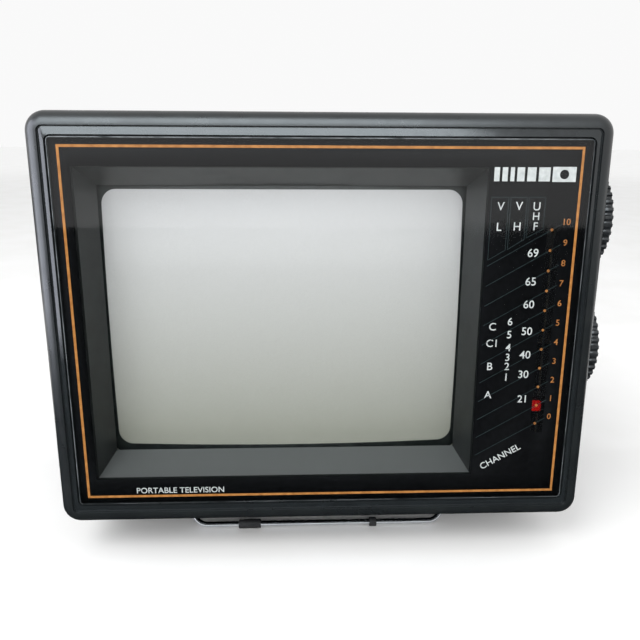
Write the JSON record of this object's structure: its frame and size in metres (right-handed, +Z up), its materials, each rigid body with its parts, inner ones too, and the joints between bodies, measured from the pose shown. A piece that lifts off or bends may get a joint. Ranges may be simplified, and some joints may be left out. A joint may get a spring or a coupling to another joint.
{
  "type": "tube television",
  "caption": "Small portable tube television on a folding wire bail, with side knobs, a slide-rule dial, a rear telescopic aerial and full inner works.",
  "frame": {"origin": "bottom centre of the whole object's box, on the surface it stands on", "axes": "+Z up, screen facing -Y and leaning back by 4.0 degrees, +X to the viewer's right"},
  "size_m": [0.1742, 0.1978, 0.1409],
  "materials": {
    "bezel_plastic": "moulded gloss charcoal plastic, lightly scuffed",
    "smoked_acrylic": "smoked clear acrylic, printed black behind, polished",
    "mask_plastic": "satin grey-black moulded plastic",
    "cabinet_plastic": "fine-textured charcoal moulded plastic",
    "knob_plastic": "ribbed black moulded plastic",
    "bright_chrome": "bright plating over steel or brass",
    "black_rubber": "soft black rubber",
    "tube_glass": "thick tube glass with grey-white phosphor behind it",
    "coated_glass": "glass with a black graphite coating",
    "plain_steel": "plated steel",
    "black_bakelite": "dark moulded insulator",
    "board_laminate": "brown paper laminate",
    "ferrite": "sintered ferrite, dull dark grey",
    "wire_insulation": "red high-voltage lead",
    "coil_resin": "wound coil cast in resin",
    "capacitor_sleeve": "blue shrunk sleeve",
    "bare_aluminium": "extruded bare aluminium",
    "brass_shaft": "turned brass",
    "white_nylon": "moulded nylon",
    "cord_thread": "waxed woven dial cord",
    "red_plastic": "clear red plastic pointer",
    "cone_paper": "pressed dark paper"
  },
  "bodies": {
    "chassis": {"front_bezel": "bezel_plastic", "window": "smoked_acrylic", "screen_mask": "mask_plastic", "cabinet": "cabinet_plastic", "rear_cover": "cabinet_plastic", "rubber_feet": "black_rubber", "crt_faceplate": "tube_glass", "crt_funnel": "coated_glass", "electron_gun": "plain_steel", "crt_base": "black_bakelite", "crt_socket": "black_bakelite", "socket_board": "board_laminate", "crt_band": "plain_steel", "yoke_former": "black_bakelite", "yoke_core": "ferrite", "centring_rings": "ferrite", "anode_cap": "black_rubber", "anode_lead": "wire_insulation", "main_board": "board_laminate", "flyback_coil": "coil_resin", "flyback_core": "ferrite", "filter_capacitors": "capacitor_sleeve", "heat_sink": "bare_aluminium", "coil_cans": "plain_steel", "tuner_box": "plain_steel", "control_pots": "black_bakelite", "earphone_jack": "black_bakelite", "power_inlet": "black_bakelite", "aerial_socket": "black_bakelite", "speaker_basket": "plain_steel", "speaker_cone": "cone_paper", "speaker_magnet": "ferrite", "tuning_pot": "plain_steel", "volume_pot": "plain_steel", "dial_bracket": "plain_steel", "pointer_rod": "plain_steel", "dial_cord": "cord_thread", "band_switch": "plain_steel", "cover_screws": "plain_steel", "inside_screws": "plain_steel"},
    "tuning_dial": {"tuning_knob": "knob_plastic", "tuning_shaft": "brass_shaft", "dial_drum": "white_nylon"},
    "pointer": {"pointer_carriage": "black_bakelite", "dial_pointer": "red_plastic"},
    "volume": {"volume_knob": "knob_plastic", "volume_shaft": "brass_shaft"},
    "band_selector": {"band_slider": "knob_plastic"},
    "bail": {"wire_bail": "bright_chrome", "bail_sleeves": "black_rubber"},
    "aerial_fork": {"aerial_post": "bright_chrome", "aerial_pin": "bright_chrome"},
    "aerial_outer": {"aerial_outer_tube": "bright_chrome"},
    "aerial_middle": {"aerial_middle_tube": "bright_chrome"},
    "aerial_inner": {"aerial_inner_tube": "bright_chrome"},
    "aerial_tip": {"aerial_tip_rod": "bright_chrome"},
    "brightness": {"brightness_knob": "knob_plastic"},
    "contrast": {"contrast_knob": "knob_plastic"},
    "vertical_hold": {"vertical_hold_knob": "knob_plastic"},
    "horizontal_hold": {"horizontal_hold_knob": "knob_plastic"}
  },
  "joints": [
    {"name": "tuning_turn", "type": "hinge", "parent": "chassis", "child": "tuning_dial", "pos_m": [0.08707, -0.07201, 0.10862], "axis": [-1, 0, 0], "range_deg": [-32.58, 293.24]},
    {"name": "pointer_travel", "type": "slide", "parent": "chassis", "child": "pointer", "axis": [0, 0.0701, 0.9975], "range_m": [-0.00627, 0.05563]},
    {"name": "volume_turn", "type": "hinge", "parent": "chassis", "child": "volume", "pos_m": [0.08707, -0.0749, 0.06742], "axis": [-1, 0, 0], "range_deg": [0, 300]},
    {"name": "band_slide", "type": "slide", "parent": "chassis", "child": "band_selector", "axis": [0, 0.9975, -0.0701], "range_m": [0, 0.01]},
    {"name": "bail_fold", "type": "hinge", "parent": "chassis", "child": "bail", "pos_m": [-0.00282, -0.07939, 0.0106], "axis": [1, 0, 0], "range_deg": [0, 113.27]},
    {"name": "aerial_swivel", "type": "hinge", "parent": "chassis", "child": "aerial_fork", "pos_m": [0.06017, 0.06655, 0.13312], "axis": [0, 0.0701, 0.9975], "range_deg": [-180, 0]},
    {"name": "aerial_tilt", "type": "hinge", "parent": "aerial_fork", "child": "aerial_outer", "pos_m": [0.06017, 0.06655, 0.13312], "axis": [0, 0.9975, -0.0701], "range_deg": [0, 90]},
    {"name": "aerial_draw_middle", "type": "slide", "parent": "aerial_outer", "child": "aerial_middle", "axis": [-1, 0, 0], "range_m": [0, 0.105]},
    {"name": "aerial_draw_inner", "type": "slide", "parent": "aerial_middle", "child": "aerial_inner", "axis": [-1, 0, 0], "range_m": [0, 0.105]},
    {"name": "aerial_draw_tip", "type": "slide", "parent": "aerial_inner", "child": "aerial_tip", "axis": [-1, 0, 0], "range_m": [0, 0.105]},
    {"name": "brightness_turn", "type": "hinge", "parent": "chassis", "child": "brightness", "pos_m": [-0.05382, 0.05135, 0.0166], "axis": [0, 0.9975, -0.0701], "range_deg": [-135, 135]},
    {"name": "contrast_turn", "type": "hinge", "parent": "chassis", "child": "contrast", "pos_m": [-0.03583, 0.05135, 0.0166], "axis": [0, 0.9975, -0.0701], "range_deg": [-135, 135]},
    {"name": "vertical_hold_turn", "type": "hinge", "parent": "chassis", "child": "vertical_hold", "pos_m": [-0.01783, 0.05135, 0.0166], "axis": [0, 0.9975, -0.0701], "range_deg": [-135, 135]},
    {"name": "horizontal_hold_turn", "type": "hinge", "parent": "chassis", "child": "horizontal_hold", "pos_m": [0.00017, 0.05135, 0.0166], "axis": [0, 0.9975, -0.0701], "range_deg": [-135, 135]}
  ],
  "couplings": [
    {"joint": "pointer_travel", "follows": "tuning_turn", "m_per_rad": 0.01085}
  ]
}
